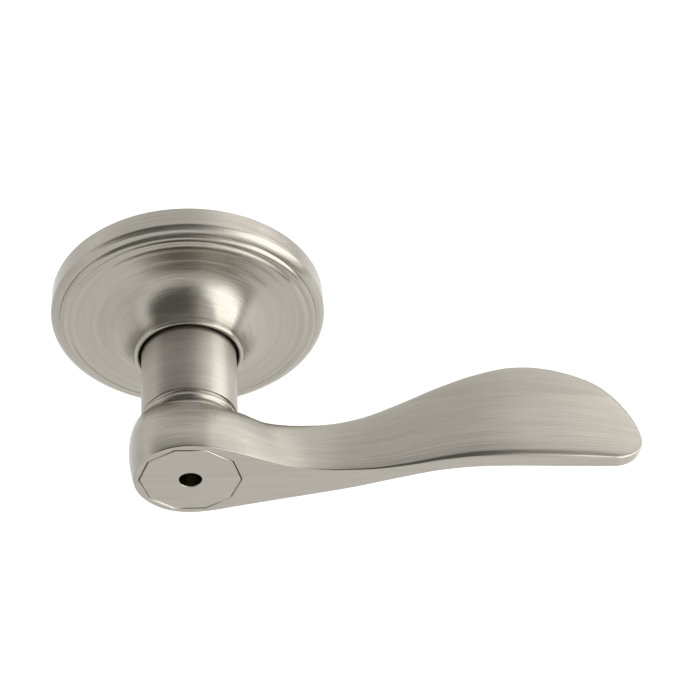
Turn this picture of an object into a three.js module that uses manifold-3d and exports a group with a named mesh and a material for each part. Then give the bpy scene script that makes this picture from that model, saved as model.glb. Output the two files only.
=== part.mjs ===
// Outside half of a tubular privacy lever set: rosette, cast lever, face insert with a release hole,
// and the spring cage, sleeve, spindle and catch inside. Millimetres, +Z up.
// The origin is the centre of the rosette on the door face. The spindle axis is Y, the door is at Y = 0,
// the handle stands out towards -Y and the lever points along +X.
// "out" is a distance from the door face towards the hand, so a point's Y is -out.
import * as THREE from 'three';
import { mergeVertices } from 'three/addons/utils/BufferGeometryUtils.js';
import Module from 'manifold-3d';

const wasm = await Module();
wasm.setup();

// Clearances
const GAP = 0.3;             // between pieces that rest on or in each other
const COLLAR_GAP = 0.4;      // round the neck, where it passes the collar's lip

// Rosette
const ROSE_RADIUS = 33.5;
const ROSE_HEIGHT = 17.7;    // door face to the crest of the collar's lip
const ROSE_WALL = 1.1;
const RIM_HEIGHT = 4.9;      // straight part of the rim
const SHOULDER_HEIGHT = 6.6; // top of the rounded shoulder, where the first bead starts
const SHOULDER_WIDTH = 2;
const BEAD_WIDTH = 1.9;
const BEAD_HEIGHT = 7.25;
const DISH_HEIGHT = 7.75;    // where the dish turns up into the collar
const BAND_WIDTH = 10;       // rim to the start of the collar's flare
const LIP_WIDTH = 1.25;

// Lever
const PROJECTION = 54.1;     // door face to the lever's flat face
const LEVER_LENGTH = 105.5;  // spindle axis to the tip of the grip
const NECK_RADIUS = 11.55;
const NECK_TAPER = 0.2;      // how much slimmer the neck is at its groove
const NECK_WALL = 2;
const GROOVE_DEPTH = 0.75;   // below the slim end of the neck
const GROOVE_WIDTH = 0.65;
const RING_DEPTH = 0.15;
const RING_WIDTH = 0.7;
const HEAD_DEPTH = 18.1;     // flat face back to the first groove
const HUB_WAIST_RISE = 0.45; // above the slim end of the neck
const HUB_WAIST_DEPTH = 13.5;
const HUB_RISE = 2.65;
const HUB_CREST_DEPTH = 6.1;
const FACE_RISE = 1.65;
const FRONT_WALL = 8.6;      // flat face back to the end of the neck's bore
const GRIP_THICKNESS = 4.1;
const VALLEY_HEIGHT = 3.3;   // upper edge of the grip at its lowest, above the spindle axis
const CREST_HEIGHT = 8.8;    // upper edge of the grip at its highest
const GRIP_NARROW = 12.8;    // depth of the grip, front to back, by the hub
const GRIP_WIDE = 26.7;      // and where the fingers hold it

// Face insert
const FACE_BORDER = 1.32;    // face edge to the insert's corners
const INSERT_SIDES = 10;
const INSERT_PLATE = 2.8;
const STEM_RADIUS = 6;
const STEM_LENGTH = 8.8;     // behind the insert's plate
const RELEASE_HOLE_RADIUS = 2.65;
const CLIP_THICKNESS = 0.8;
const CLIP_WIDTH = 2.5;

// Mounting plate, posts and spring cage
const PLATE_THICKNESS = 2;
const POST_SPACING = 38;     // two through-bolts either side of a tubular latch
const POST_RADIUS = 3.2;
const POST_LENGTH = 18;      // behind the door face
const POST_BORE_RADIUS = 1.7;
const POST_BORE_DEPTH = 14;
const POST_FLANGE_RADIUS = 4.6;
const POST_FLANGE = 1.2;
const CAGE_RADIUS = 13.6;
const CAGE_WALL = 0.8;
const EAR_RADIUS = 3.1;
const RIVET_CIRCLE = 16.9;
const RIVET_COUNT = 3;
const RIVET_RADIUS = 1.4;
const RIVET_HEAD_RADIUS = 2.4;
const RIVET_HEAD = 1;
const BUSH_WALL = 0.9;
const BUSH_LENGTH = 4;       // collar bush

// Sleeve and what turns with it
const SLEEVE_HUB_RADIUS = 8.8;
const SLEEVE_BOSS_RADIUS = 8;
const SLEEVE_FLANGE_RADIUS = 12.3;
const SLEEVE_FLANGE = 1.2;
const SLEEVE_BORE_RADIUS = 6.6;
const SLEEVE_FLOOR = 5.2;    // solid end that drives the spindle
const SLEEVE_LENGTH = 27.7;  // plate to the sleeve's front end
const SLEEVE_KEY_WIDTH = 2.4;
const SLEEVE_KEY_HEIGHT = 0.9;
const SNAP_GROOVE = 0.4;     // depth of the inner snap grooves
const RETAINER_THICKNESS = 0.8;
const RETAINER_STEP = 0.55;  // how much smaller than the neck it is
const RETAINER_GROOVE = 0.6;
const RETURN_WIRE = 1;
const RETURN_TURNS = 2.5;
const RETURN_PITCH = 1.3;
const RETURN_LEG = 1.1;
const SPINDLE_WIDTH = 7.6;
const SPINDLE_LENGTH = 24;   // behind the door face
const SPINDLE_HEAD = 1.5;

// Release rod and catch
const ROD_RADIUS = 1.6;
const ROD_TAIL = 20;         // behind the door face
const ROD_DEPTH = 9;         // flat face to the rod's pushed end
const ROD_TIP_RADIUS = 2.2;
const ROD_TIP_LENGTH = 3;
const ROD_SHOULDER_RADIUS = 4.2;
const ROD_SHOULDER = 1;
const RELEASE_WIRE = 0.5;
const RELEASE_TURNS = 4;
const RELEASE_COIL_RADIUS = 3.1;
const RELEASE_SPRING_LENGTH = 6.3;
const GUIDE_SHANK = 4;
const GUIDE_FLANGE = 1.5;
const CATCH_RADIUS = 1.9;
const CATCH_OUT = 4.6;       // collar's lip to the catch's axis
const CATCH_FOOT_RADIUS = 2.7;
const CATCH_FOOT = 1;
const LEAF_THICKNESS = 0.4;
const LEAF_WIDTH = 3.4;

// Facets
const FINE = 40;
const MEDIUM = 24;
const COARSE = 16;

// The stack inside the rosette, door face outwards
const plateTop = PLATE_THICKNESS;
const flangeBack = plateTop + GAP;
const flangeTop = flangeBack + SLEEVE_FLANGE;
const returnBack = flangeTop + GAP;
const returnTop = returnBack + RETURN_WIRE + RETURN_TURNS * RETURN_PITCH;
const cageRoof = returnTop + GAP;
const cageTop = cageRoof + CAGE_WALL;
const retainerBack = cageTop + GAP;
const retainerTop = retainerBack + RETAINER_THICKNESS;
const neckEnd = retainerTop + GAP;
const sleeveFloorTop = flangeBack + SLEEVE_FLOOR;
const spindleHeadBack = sleeveFloorTop + GAP;
const washerBack = spindleHeadBack + SPINDLE_HEAD + GAP;
const releaseSpringBack = washerBack + CLIP_THICKNESS + GAP;
const shoulderBack = releaseSpringBack + RELEASE_SPRING_LENGTH + GAP;
const stopBack = shoulderBack + ROD_SHOULDER + GAP;
const catchOut = Math.max(ROSE_HEIGHT + CATCH_OUT, stopBack + CLIP_THICKNESS + CATCH_FOOT_RADIUS + GAP);
const sleeveEnd = flangeBack + SLEEVE_LENGTH;
const boreEnd = PROJECTION - FRONT_WALL;

// Radii that follow each other
const lipRadius = NECK_RADIUS + COLLAR_GAP;
const collarRadius = lipRadius + LIP_WIDTH;
const dishRadius = ROSE_RADIUS - BAND_WIDTH;
const slimRadius = NECK_RADIUS - NECK_TAPER;
const hubRadius = slimRadius + HUB_RISE;
const faceRadius = slimRadius + FACE_RISE;
const insertRadius = faceRadius - FACE_BORDER;
const boreRadius = NECK_RADIUS - NECK_WALL;
const sleeveRadius = boreRadius - GAP;
const cageInner = CAGE_RADIUS - CAGE_WALL;
const bushRadius = SLEEVE_BOSS_RADIUS + GAP;
const retainerRadius = NECK_RADIUS - RETAINER_STEP;
const snapRadius = SLEEVE_BORE_RADIUS + SNAP_GROOVE;
const plateRadius = ROSE_RADIUS - ROSE_WALL - GAP;

// Finishes
const finish = (color, roughness, metalness) =>
  new THREE.MeshStandardMaterial({ color, roughness, metalness });
const satinNickel = finish('#b4afa6', 0.34, 1);
const zincPlate = finish('#a3a8ab', 0.4, 1);
const springSteel = finish('#6f7276', 0.35, 1);
const brass = finish('#b8944c', 0.35, 1);
const blackNylon = finish('#1d1d1f', 0.6, 0);

// ---- Solids ----

// A closed three.js geometry as a solid, its shared vertices merged and its faces pointing out.
function toSolid(geometry) {
  const bare = new THREE.BufferGeometry();
  bare.setAttribute('position', geometry.getAttribute('position').clone());
  if (geometry.index) {
    bare.setIndex(geometry.index.clone());
  }
  const merged = mergeVertices(bare, 1e-4);
  const position = merged.getAttribute('position');
  const corners = [];
  for (let i = 0; i < merged.index.count; i += 3) {
    const [a, b, c] = [merged.index.getX(i), merged.index.getX(i + 1), merged.index.getX(i + 2)];
    if (a !== b && b !== c && c !== a) {
      corners.push([a, b, c]);
    }
  }
  const [va, vb, vc] = [new THREE.Vector3(), new THREE.Vector3(), new THREE.Vector3()];
  let volume = 0;
  for (const [a, b, c] of corners) {
    va.fromBufferAttribute(position, a);
    vb.fromBufferAttribute(position, b);
    vc.fromBufferAttribute(position, c);
    volume += va.dot(vb.cross(vc)) / 6;
  }
  const facing = volume > 0 ? corners : corners.map(([a, b, c]) => [a, c, b]);
  return new wasm.Manifold(new wasm.Mesh({
    numProp: 3,
    vertProperties: new Float32Array(position.array),
    triVerts: new Uint32Array(facing.flat()),
  }));
}

function toMesh(name, solid, material) {
  const { vertProperties, triVerts } = solid.getMesh();
  const geometry = new THREE.BufferGeometry();
  geometry.setAttribute('position', new THREE.BufferAttribute(new Float32Array(vertProperties), 3));
  geometry.setIndex(new THREE.BufferAttribute(new Uint32Array(triVerts), 1));
  geometry.computeVertexNormals();
  const mesh = new THREE.Mesh(geometry, material.clone());
  mesh.name = name;
  return mesh;
}

// A profile of [radius, out] turned about the spindle axis.
function turned(profile, facets) {
  const points = profile.map(([radius, out]) => new THREE.Vector2(radius, -out));
  points.push(points[0].clone());
  return toSolid(new THREE.LatheGeometry(points, facets));
}

const rod = (radius, back, front, facets) =>
  turned([[0, back], [radius, back], [radius, front], [0, front]], facets);

const ring = (inner, outer, back, front, facets) =>
  turned([[inner, back], [outer, back], [outer, front], [inner, front]], facets);

// An outline of [x, z] standing between two distances from the door.
function standing(outline, back, front) {
  const shape = new THREE.Shape(outline.map(([x, z]) => new THREE.Vector2(x, z)));
  const geometry = new THREE.ExtrudeGeometry(shape, { depth: front - back, bevelEnabled: false });
  return toSolid(geometry.translate(0, 0, back).rotateX(Math.PI / 2));
}

const block = (width, height, back, front, x = 0, z = 0) =>
  toSolid(new THREE.BoxGeometry(width, front - back, height).translate(x, -(front + back) / 2, z));

// A round wire along a curve.
function wire(curve, radius, steps, sides) {
  const section = new THREE.Shape();
  for (let i = 0; i < sides; i += 1) {
    const angle = (i / sides) * 2 * Math.PI;
    const [x, y] = [radius * Math.cos(angle), radius * Math.sin(angle)];
    if (i === 0) {
      section.moveTo(x, y);
    } else {
      section.lineTo(x, y);
    }
  }
  return toSolid(new THREE.ExtrudeGeometry(section, { extrudePath: curve, steps, bevelEnabled: false }));
}

// A smooth line through a few points, as [x, y] pairs.
function spline(points, count) {
  const curve = new THREE.SplineCurve(points.map(([x, y]) => new THREE.Vector2(x, y)));
  return curve.getPoints(count).map((p) => [p.x, p.y]);
}

// ---- Rosette and what is fixed to the door ----

// The collar's flare is a quarter of an ellipse from the dish up to the lip. wall sets it back inside.
function flare(wall, from, to, count) {
  const across = dishRadius - collarRadius + wall;
  const up = ROSE_HEIGHT - DISH_HEIGHT + wall;
  const points = [];
  for (let i = 0; i <= count; i += 1) {
    const angle = THREE.MathUtils.lerp(from, to, i / count);
    points.push([dishRadius - across * Math.cos(angle), ROSE_HEIGHT - up * Math.sin(angle)]);
  }
  return points;
}

// The angle on that quarter where it is at a given distance from the door.
const flareAngle = (wall, out) => Math.asin((ROSE_HEIGHT - out) / (ROSE_HEIGHT - DISH_HEIGHT + wall));

function rosette() {
  const shoulder = ROSE_RADIUS - SHOULDER_WIDTH;
  const beadEnd = shoulder - BEAD_WIDTH;
  const inner = ROSE_RADIUS - ROSE_WALL;
  const quarter = Math.PI / 2;
  const lipDepth = 1.2;
  return turned([
    [inner, 0],
    [ROSE_RADIUS, 0],
    [ROSE_RADIUS, RIM_HEIGHT],
    [ROSE_RADIUS - 0.7, SHOULDER_HEIGHT - 0.6],
    [shoulder, SHOULDER_HEIGHT],
    [shoulder - BEAD_WIDTH / 2, BEAD_HEIGHT],
    [beadEnd, BEAD_HEIGHT - 0.15],
    [beadEnd - 1.1, BEAD_HEIGHT + 0.1],
    ...flare(0, quarter, 0.12, 7),
    [lipRadius + LIP_WIDTH / 2, ROSE_HEIGHT],
    [lipRadius, ROSE_HEIGHT - 0.4],
    [lipRadius, ROSE_HEIGHT - lipDepth],
    ...flare(ROSE_WALL, flareAngle(ROSE_WALL, ROSE_HEIGHT - lipDepth), quarter, 5),
    [beadEnd, BEAD_HEIGHT - ROSE_WALL - 0.2],
    [shoulder, SHOULDER_HEIGHT - ROSE_WALL - 0.1],
    [inner, RIM_HEIGHT - ROSE_WALL / 2],
  ], FINE);
}

// Nylon ring behind the collar's lip that the neck turns in. It follows the flare inside the rosette.
function roseBushing() {
  const front = retainerBack + BUSH_LENGTH;
  const wall = ROSE_WALL + GAP;
  return turned([
    [NECK_RADIUS + GAP, retainerBack],
    ...flare(wall, flareAngle(wall, retainerBack), flareAngle(wall, front), 3),
    [NECK_RADIUS + GAP, front],
  ], FINE);
}

const rivetAngles = Array.from({ length: RIVET_COUNT }, (_, i) => Math.PI * (0.5 + (2 * i) / RIVET_COUNT));
const rivetPlaces = rivetAngles.map((a) => [RIVET_CIRCLE * Math.cos(a), RIVET_CIRCLE * Math.sin(a)]);

function mountingPlate() {
  let plate = ring(bushRadius + BUSH_WALL + GAP, plateRadius, 0, plateTop, FINE);
  for (const side of [-1, 1]) {
    const hole = rod(POST_RADIUS + GAP, -1, plateTop + 1, COARSE);
    plate = plate.subtract(hole.translate([side * POST_SPACING / 2, 0, 0]));
  }
  for (const [x, z] of rivetPlaces) {
    plate = plate.subtract(rod(RIVET_RADIUS + GAP, -1, plateTop + 1, COARSE).translate([x, 0, z]));
  }
  return plate;
}

// A post has a flange on the plate and a tapped bore from behind.
function mountingPost() {
  const back = plateTop + GAP;
  return turned([
    [0, POST_BORE_DEPTH - POST_LENGTH],
    [POST_BORE_RADIUS, POST_BORE_DEPTH - POST_LENGTH],
    [POST_BORE_RADIUS, -POST_LENGTH],
    [POST_RADIUS, -POST_LENGTH],
    [POST_RADIUS, back],
    [POST_FLANGE_RADIUS, back],
    [POST_FLANGE_RADIUS, back + POST_FLANGE],
    [0, back + POST_FLANGE],
  ], COARSE);
}

// The cage is a cup, mouth down on the plate, with one ear for each rivet.
function springHousing() {
  const back = plateTop + GAP;
  let cage = turned([
    [cageInner, back],
    [CAGE_RADIUS, back],
    [CAGE_RADIUS, cageTop],
    [SLEEVE_HUB_RADIUS + GAP, cageTop],
    [SLEEVE_HUB_RADIUS + GAP, cageRoof],
    [cageInner, cageRoof],
  ], MEDIUM);
  for (const angle of rivetAngles) {
    const ear = rod(EAR_RADIUS, back, back + CAGE_WALL, COARSE).translate([RIVET_CIRCLE, 0, 0]);
    const reach = RIVET_CIRCLE - cageInner - CAGE_WALL / 2;
    const web = block(reach, 2 * EAR_RADIUS, back, back + CAGE_WALL, RIVET_CIRCLE - reach / 2);
    const hole = rod(RIVET_RADIUS + GAP, back - 1, back + 2, COARSE).translate([RIVET_CIRCLE, 0, 0]);
    cage = cage.add(ear.add(web).subtract(hole).rotate([0, THREE.MathUtils.radToDeg(-angle), 0]));
  }
  return cage;
}

function housingRivet() {
  const headBack = plateTop + GAP + CAGE_WALL + GAP;
  return turned([
    [0, GAP],
    [RIVET_RADIUS, GAP],
    [RIVET_RADIUS, headBack],
    [RIVET_HEAD_RADIUS, headBack],
    [RIVET_HEAD_RADIUS * 0.7, headBack + RIVET_HEAD],
    [0, headBack + RIVET_HEAD],
  ], COARSE);
}

// Torsion spring round the sleeve, with a short leg bent out at each end.
function returnSpring() {
  const radius = (SLEEVE_HUB_RADIUS + cageInner) / 2;
  const centre = returnBack + RETURN_WIRE / 2;
  const leg = (angle, out) =>
    new THREE.Vector3((radius + RETURN_LEG) * Math.cos(angle), -out, (radius + RETURN_LEG) * Math.sin(angle));
  const places = [];
  const steps = Math.round(RETURN_TURNS * 16);
  for (let i = 0; i <= steps; i += 1) {
    const angle = (i / steps) * RETURN_TURNS * 2 * Math.PI;
    const out = centre + (i / steps) * RETURN_TURNS * RETURN_PITCH;
    places.push(new THREE.Vector3(radius * Math.cos(angle), -out, radius * Math.sin(angle)));
  }
  places.unshift(leg(-0.1, centre));
  places.push(leg(RETURN_TURNS * 2 * Math.PI + 0.1, centre + RETURN_TURNS * RETURN_PITCH));
  return wire(new THREE.CatmullRomCurve3(places), RETURN_WIRE / 2, steps, 6);
}

// ---- What turns with the lever ----

// Upper and lower edge of the lever's flat face, from the hub to the tip, as [x, z].
// They keep to the head's circle, dip to the valley, rise to the crest and run out to the tip.
function wave() {
  const valley = VALLEY_HEIGHT;
  const crest = CREST_HEIGHT;
  const thick = GRIP_THICKNESS;
  const reach = LEVER_LENGTH;
  const upper = spline([
    [0, faceRadius],
    [faceRadius * 0.42, faceRadius * 0.95],
    [reach * 0.17, valley + 3.7],
    [reach * 0.26, valley + 0.5],
    [reach * 0.35, valley],
    [reach * 0.45, valley + 1.3],
    [reach * 0.56, crest - 1],
    [reach * 0.67, crest],
    [reach * 0.83, crest - 0.6],
    [reach * 0.95, crest - 2],
    [reach, crest - 3],
  ], 26);
  const lower = spline([
    [reach, crest - 3.3],
    [reach * 0.95, crest - thick - 0.5],
    [reach * 0.8, crest - thick - 0.1],
    [reach * 0.67, crest - thick],
    [reach * 0.56, crest - thick - 1],
    [reach * 0.45, valley - thick + 1],
    [reach * 0.35, valley - 6.6],
    [reach * 0.25, valley - 9.4],
    [reach * 0.14, valley - 12.4],
    [faceRadius * 0.36, -faceRadius * 0.93],
    [0, -faceRadius],
  ], 26);
  return [...upper, ...lower];
}

// The grip seen from above, as [x, out]: straight front edge, round tip, and a swept back edge.
function plan() {
  const reach = LEVER_LENGTH;
  const narrow = PROJECTION - GRIP_NARROW;
  const wide = PROJECTION - GRIP_WIDE;
  const sweep = narrow - wide;
  const tip = spline([
    [reach * 0.9, PROJECTION],
    [reach * 0.965, PROJECTION - 1.2],
    [reach * 0.995, PROJECTION - 5],
    [reach, PROJECTION - 9],
    [reach * 0.99, narrow - sweep * 0.08],
    [reach * 0.96, narrow - sweep * 0.4],
    [reach * 0.92, narrow - sweep * 0.7],
    [reach * 0.86, wide + 1.2],
    [reach * 0.78, wide],
    [reach * 0.7, wide + 0.9],
    [reach * 0.59, wide + 4.7],
    [reach * 0.47, narrow - sweep * 0.39],
    [reach * 0.36, narrow - sweep * 0.13],
    [reach * 0.25, narrow],
    [reach * 0.14, narrow + 0.8],
    [reach * 0.08, narrow + 2.6],
  ], 34);
  return [[0, PROJECTION], ...tip, [0, narrow + 5]];
}

function grip() {
  const fromAbove = new THREE.Shape(plan().map(([x, out]) => new THREE.Vector2(x, -out)));
  const column = new THREE.ExtrudeGeometry(fromAbove, { depth: 2 * hubRadius, bevelEnabled: false });
  column.translate(0, 0, -hubRadius);
  return standing(wave(), 0, PROJECTION).intersect(toSolid(column));
}

const insertOutline = (radius) => Array.from({ length: INSERT_SIDES }, (_, i) => {
  const angle = (i / INSERT_SIDES) * 2 * Math.PI;
  return [radius * Math.cos(angle), radius * Math.sin(angle)];
});

function leverHandle() {
  const groove = PROJECTION - HEAD_DEPTH;
  const ringBack = groove + GROOVE_WIDTH;
  const ringFront = ringBack + RING_WIDTH;
  const hub = spline([
    [slimRadius + HUB_WAIST_RISE, PROJECTION - HUB_WAIST_DEPTH],
    [
      slimRadius + (HUB_WAIST_RISE + HUB_RISE) / 2 + 0.4,
      PROJECTION - (HUB_WAIST_DEPTH + HUB_CREST_DEPTH) / 2,
    ],
    [hubRadius, PROJECTION - HUB_CREST_DEPTH],
    [faceRadius, PROJECTION],
  ], 8);
  const body = turned([
    [0, neckEnd],
    [NECK_RADIUS, neckEnd],
    [NECK_RADIUS, ROSE_HEIGHT],
    [slimRadius, groove - GROOVE_WIDTH],
    [slimRadius - GROOVE_DEPTH, groove],
    [slimRadius - RING_DEPTH, ringBack],
    [slimRadius - RING_DEPTH, ringFront],
    [slimRadius - GROOVE_DEPTH, ringFront + GROOVE_WIDTH],
    ...hub,
    [0, PROJECTION],
  ], FINE);
  const pocket = standing(insertOutline(insertRadius + GAP), PROJECTION - INSERT_PLATE - GAP, PROJECTION + 1);
  const keyTop = boreRadius + SLEEVE_KEY_HEIGHT;
  const keyway = block(SLEEVE_KEY_WIDTH + 2 * GAP, keyTop, neckEnd - 1, sleeveEnd + 2 * GAP, 0, keyTop / 2);
  return body
    .add(grip())
    .subtract(rod(boreRadius, neckEnd - 1, boreEnd, MEDIUM))
    .subtract(rod(STEM_RADIUS + GAP, boreEnd - 1, PROJECTION, MEDIUM))
    .subtract(pocket)
    .subtract(keyway)
    .subtract(catchHole(NECK_RADIUS));
}

// A round hole from the spindle axis down through a wall, for the catch.
function catchHole(radius) {
  const hole = new THREE.CylinderGeometry(CATCH_RADIUS + GAP, CATCH_RADIUS + GAP, radius, COARSE);
  return toSolid(hole.rotateX(Math.PI / 2).translate(0, -catchOut, -radius / 2 - SLEEVE_BORE_RADIUS / 2));
}

function faceInsert() {
  const back = PROJECTION - INSERT_PLATE;
  return standing(insertOutline(insertRadius), back, PROJECTION)
    .add(rod(STEM_RADIUS, back - STEM_LENGTH, back + 1, MEDIUM))
    .subtract(rod(RELEASE_HOLE_RADIUS, back - STEM_LENGTH - 1, PROJECTION + 1, COARSE));
}

const insertClip = () =>
  ring(STEM_RADIUS + GAP, STEM_RADIUS + CLIP_WIDTH, boreEnd - GAP - CLIP_THICKNESS, boreEnd - GAP, MEDIUM);

// The sleeve turns in the plate's bush and the cage, drives the spindle through its square-holed floor,
// and carries the lever on its front tube, keyed at the top.
function driveSleeve() {
  const grooveRadius = SLEEVE_HUB_RADIUS - RETAINER_GROOVE;
  const snap = (back) => ring(0.1, snapRadius, back - GAP / 2, back + CLIP_THICKNESS + GAP / 2, MEDIUM);
  const outside = turned([
    [0, GAP],
    [SLEEVE_BOSS_RADIUS, GAP],
    [SLEEVE_BOSS_RADIUS, flangeBack],
    [SLEEVE_FLANGE_RADIUS, flangeBack],
    [SLEEVE_FLANGE_RADIUS, flangeTop],
    [SLEEVE_HUB_RADIUS, flangeTop],
    [SLEEVE_HUB_RADIUS, retainerBack - GAP / 2],
    [grooveRadius, retainerBack - GAP / 2],
    [grooveRadius, neckEnd - GAP / 2],
    [sleeveRadius, neckEnd + GAP],
    [sleeveRadius, sleeveEnd],
    [0, sleeveEnd],
  ], MEDIUM);
  const key = block(SLEEVE_KEY_WIDTH, SLEEVE_KEY_HEIGHT + 1, neckEnd + GAP, sleeveEnd,
    0, sleeveRadius + (SLEEVE_KEY_HEIGHT - 1) / 2);
  const square = SPINDLE_WIDTH + 2 * GAP;
  return outside
    .add(key)
    .subtract(rod(SLEEVE_BORE_RADIUS, sleeveFloorTop, sleeveEnd + 1, MEDIUM))
    .subtract(snap(washerBack))
    .subtract(snap(stopBack))
    .subtract(block(square, square, -1, sleeveFloorTop + 1))
    .subtract(catchHole(sleeveRadius + 1));
}

const retainingRing = () => {
  const inner = SLEEVE_HUB_RADIUS - RETAINER_GROOVE + GAP;
  const open = block(5, retainerRadius, retainerBack - 1, retainerTop + 1, 0, -retainerRadius);
  return ring(inner, retainerRadius, retainerBack, retainerTop, MEDIUM).subtract(open);
};

function spindle() {
  return block(SPINDLE_WIDTH, SPINDLE_WIDTH, -SPINDLE_LENGTH, spindleHeadBack + 0.5)
    .add(rod(SLEEVE_BORE_RADIUS - 2 * GAP, spindleHeadBack, spindleHeadBack + SPINDLE_HEAD, MEDIUM))
    .subtract(rod(ROD_RADIUS + 2 * GAP, -SPINDLE_LENGTH - 1, spindleHeadBack + SPINDLE_HEAD + 1, COARSE));
}

const snapWasher = (back) =>
  ring(ROD_RADIUS + 2 * GAP, snapRadius - GAP, back, back + CLIP_THICKNESS, MEDIUM);

function releaseGuide() {
  return turned([
    [ROD_TIP_RADIUS + GAP, sleeveEnd - GUIDE_SHANK],
    [SLEEVE_BORE_RADIUS - GAP, sleeveEnd - GUIDE_SHANK],
    [SLEEVE_BORE_RADIUS - GAP, sleeveEnd + GAP],
    [sleeveRadius - GAP, sleeveEnd + GAP],
    [sleeveRadius - GAP, sleeveEnd + GAP + GUIDE_FLANGE],
    [ROD_TIP_RADIUS + GAP, sleeveEnd + GAP + GUIDE_FLANGE],
  ], MEDIUM);
}

// ---- Release rod, catch and their springs ----

function releasePin() {
  const tip = PROJECTION - ROD_DEPTH;
  return turned([
    [0, -ROD_TAIL],
    [ROD_RADIUS, -ROD_TAIL],
    [ROD_RADIUS, shoulderBack],
    [ROD_SHOULDER_RADIUS, shoulderBack],
    [ROD_SHOULDER_RADIUS, shoulderBack + ROD_SHOULDER],
    [ROD_RADIUS, shoulderBack + ROD_SHOULDER],
    [ROD_RADIUS, tip - ROD_TIP_LENGTH],
    [ROD_TIP_RADIUS, tip - ROD_TIP_LENGTH],
    [ROD_TIP_RADIUS, tip],
    [0, tip],
  ], COARSE);
}

function releaseSpring() {
  const places = [];
  const steps = RELEASE_TURNS * 10;
  const travel = RELEASE_SPRING_LENGTH - RELEASE_WIRE;
  for (let i = 0; i <= steps; i += 1) {
    const angle = (i / steps) * RELEASE_TURNS * 2 * Math.PI;
    const out = releaseSpringBack + RELEASE_WIRE / 2 + (i / steps) * travel;
    const around = new THREE.Vector3(Math.cos(angle), 0, Math.sin(angle));
    places.push(around.multiplyScalar(RELEASE_COIL_RADIUS).setY(-out));
  }
  return wire(new THREE.CatmullRomCurve3(places), RELEASE_WIRE / 2, steps, 6);
}

const footFace = Math.sqrt(SLEEVE_BORE_RADIUS ** 2 - CATCH_FOOT_RADIUS ** 2) - GAP;

function leverCatch() {
  const reach = slimRadius - footFace;
  const stem = new THREE.CylinderGeometry(CATCH_RADIUS, CATCH_RADIUS, reach, COARSE);
  const foot = new THREE.CylinderGeometry(CATCH_FOOT_RADIUS, CATCH_FOOT_RADIUS, CATCH_FOOT, COARSE);
  stem.rotateX(Math.PI / 2).translate(0, -catchOut, -footFace - reach / 2);
  foot.rotateX(Math.PI / 2).translate(0, -catchOut, -footFace + CATCH_FOOT / 2);
  return toSolid(stem).add(toSolid(foot));
}

// A leaf bent round inside the sleeve's bore, with its lower end pressing on the catch's foot.
function catchSpring() {
  const radius = SLEEVE_BORE_RADIUS - GAP - LEAF_THICKNESS;
  const flat = -footFace + CATCH_FOOT + GAP + LEAF_THICKNESS / 2;
  const path = [[-CATCH_FOOT_RADIUS, flat], [0, flat], [CATCH_FOOT_RADIUS, flat]];
  for (const degrees of [-15, 15, 50, 90, 130, 160]) {
    const angle = THREE.MathUtils.degToRad(degrees);
    path.push([radius * Math.cos(angle), radius * Math.sin(angle)]);
  }
  const centre = new THREE.SplineCurve(path.map(([x, z]) => new THREE.Vector2(x, z)));
  const steps = 26;
  const side = (sign) => Array.from({ length: steps + 1 }, (_, i) => {
    const place = centre.getPointAt(i / steps);
    const along = centre.getTangentAt(i / steps);
    return [place.x - sign * along.y * LEAF_THICKNESS / 2, place.y + sign * along.x * LEAF_THICKNESS / 2];
  });
  return standing([...side(1), ...side(-1).reverse()], catchOut - LEAF_WIDTH / 2, catchOut + LEAF_WIDTH / 2);
}

// ---- Assembly ----

const fixed = new THREE.Group();
fixed.add(toMesh('rosette', rosette(), satinNickel));
fixed.add(toMesh('rose_bushing', roseBushing(), blackNylon));
fixed.add(toMesh('mounting_plate', mountingPlate(), zincPlate));
for (const [name, side] of [['mounting_post_left', -1], ['mounting_post_right', 1]]) {
  const post = toMesh(name, mountingPost(), zincPlate);
  post.position.x = side * POST_SPACING / 2;
  fixed.add(post);
}
fixed.add(toMesh('spring_housing', springHousing(), zincPlate));
rivetPlaces.forEach(([x, z], i) => {
  const rivet = toMesh(`housing_rivet_${i + 1}`, housingRivet(), springSteel);
  rivet.position.set(x, 0, z);
  fixed.add(rivet);
});
fixed.add(toMesh('return_spring', returnSpring(), springSteel));
fixed.add(toMesh('plate_bush', ring(bushRadius, bushRadius + BUSH_WALL, GAP, plateTop, MEDIUM), blackNylon));

const turning = new THREE.Group();
turning.add(toMesh('lever_handle', leverHandle(), satinNickel));
turning.add(toMesh('face_insert', faceInsert(), satinNickel));
turning.add(toMesh('insert_clip', insertClip(), springSteel));
turning.add(toMesh('drive_sleeve', driveSleeve(), zincPlate));
turning.add(toMesh('retaining_ring', retainingRing(), springSteel));
turning.add(toMesh('spindle', spindle(), zincPlate));
turning.add(toMesh('spindle_washer', snapWasher(washerBack), springSteel));
turning.add(toMesh('release_stop', snapWasher(stopBack), springSteel));
turning.add(toMesh('release_guide', releaseGuide(), blackNylon));
turning.add(toMesh('release_spring', releaseSpring(), springSteel));
turning.add(toMesh('catch_spring', catchSpring(), springSteel));
turning.add(toMesh('release_pin', releasePin(), brass));
turning.add(toMesh('lever_catch', leverCatch(), springSteel));

const handle = new THREE.Group();
handle.name = 'door_lever_handle';
handle.add(fixed, turning);

export default handle;
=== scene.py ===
from math import cos, sin, pi, radians, sqrt

import bmesh
import bpy
from mathutils import Matrix, Vector


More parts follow.
